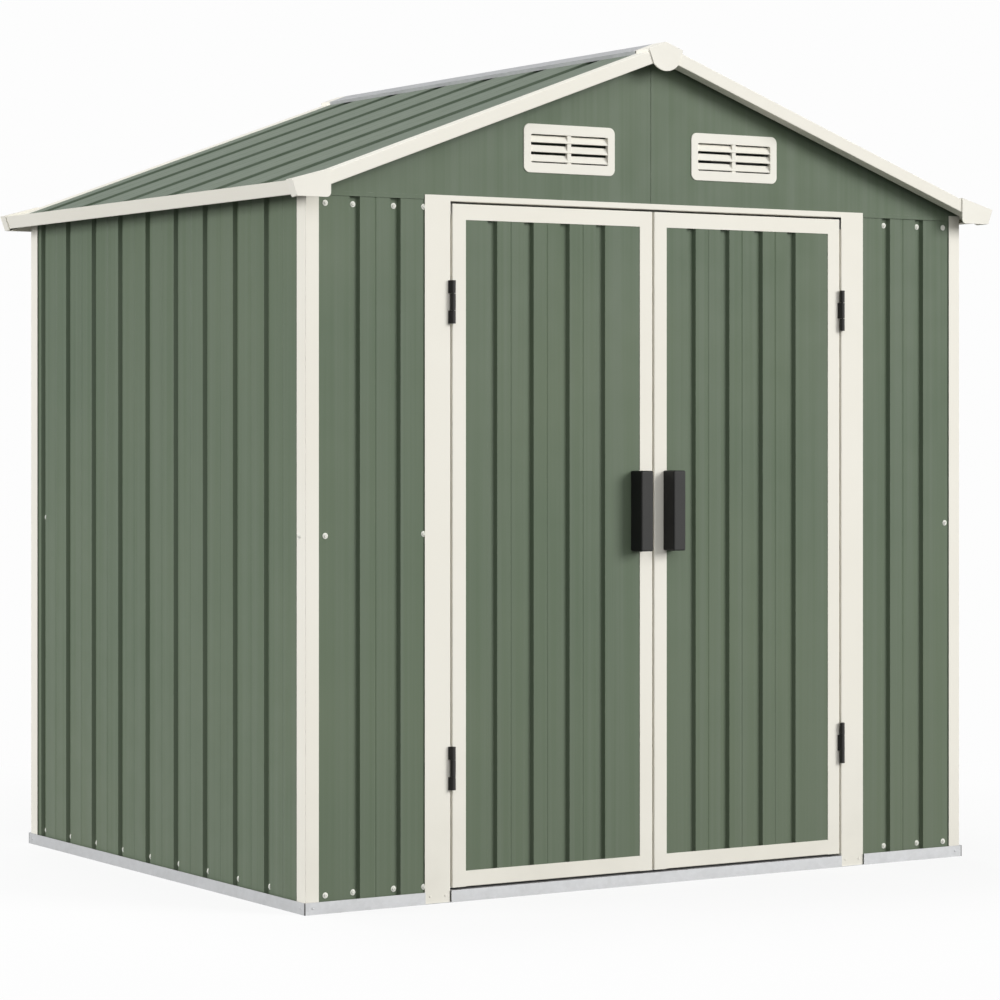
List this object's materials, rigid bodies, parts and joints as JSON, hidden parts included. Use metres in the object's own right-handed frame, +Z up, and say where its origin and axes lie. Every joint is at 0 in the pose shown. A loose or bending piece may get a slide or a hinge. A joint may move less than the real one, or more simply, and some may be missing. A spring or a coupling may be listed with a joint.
{
  "type": "garden shed",
  "caption": "Ribbed sheet-metal garden shed with a gable roof, louvred gable vents, pale corner and roof trims and outward-swinging double doors.",
  "frame": {"origin": "middle of the shed's footprint at the floor", "axes": "+Z up, -Y out of the front with the doors, +X to the right for someone who faces the doors"},
  "size_m": [2.05, 1.622, 2.0364],
  "materials": {
    "green_sheet": "satin paint on ribbed sheet",
    "roof_sheet": "satin paint on ribbed roof sheet",
    "cream_trim": "satin cream paint on folded sheet",
    "cream_moulding": "smooth cream moulding",
    "zinc_steel": "galvanised sheet",
    "black_moulding": "satin black moulding",
    "black_hinge": "black paint"
  },
  "bodies": {
    "shed": {"base_rail_front": "zinc_steel", "base_rail_left": "zinc_steel", "base_rail_rear": "zinc_steel", "base_rail_right": "zinc_steel", "corner_caps": "cream_moulding", "corner_posts_front": "cream_trim", "corner_posts_rear": "cream_trim", "door_header": "cream_trim", "door_post_left": "cream_trim", "door_post_right": "cream_trim", "door_sill": "zinc_steel", "eave_trim_left": "cream_trim", "eave_trim_right": "cream_trim", "front_base_angles": "zinc_steel", "gable_front_left": "green_sheet", "gable_front_right": "green_sheet", "gable_rear_left": "green_sheet", "gable_rear_right": "green_sheet", "hinges_fixed": "black_hinge", "mid_rail_rear": "zinc_steel", "mid_rails_front": "zinc_steel", "mid_rails_side": "zinc_steel", "ridge_beam": "zinc_steel", "ridge_cap": "zinc_steel", "ridge_end_caps": "cream_moulding", "roof_panel_left": "roof_sheet", "roof_panel_right": "roof_sheet", "roof_purlins": "zinc_steel", "top_rail_left": "zinc_steel", "top_rail_rear": "zinc_steel", "top_rail_right": "zinc_steel", "top_rails_front": "zinc_steel", "vents_front": "cream_moulding", "vents_rear": "cream_moulding", "verge_trims_front": "cream_trim", "verge_trims_rear": "cream_trim", "wall_front_left": "green_sheet", "wall_front_right": "green_sheet", "wall_left": "green_sheet", "wall_rear": "green_sheet", "wall_right": "green_sheet"},
    "left_door": {"left_door_handle": "black_moulding", "left_door_hinges": "black_hinge", "left_door_panel": "green_sheet", "left_door_rails": "cream_trim", "left_door_stiles": "cream_trim"},
    "right_door": {"right_door_handle": "black_moulding", "right_door_hinges": "black_hinge", "right_door_panel": "green_sheet", "right_door_rails": "cream_trim", "right_door_stiles": "cream_trim"}
  },
  "joints": [
    {"name": "left_door_hinge", "type": "hinge", "parent": "shed", "child": "left_door", "pos_m": [-0.573, -0.764, 0.856], "axis": [0, 0, -1], "range_deg": [0, 160]},
    {"name": "right_door_hinge", "type": "hinge", "parent": "shed", "child": "right_door", "pos_m": [0.573, -0.764, 0.856], "axis": [0, 0, 1], "range_deg": [0, 160]}
  ]
}
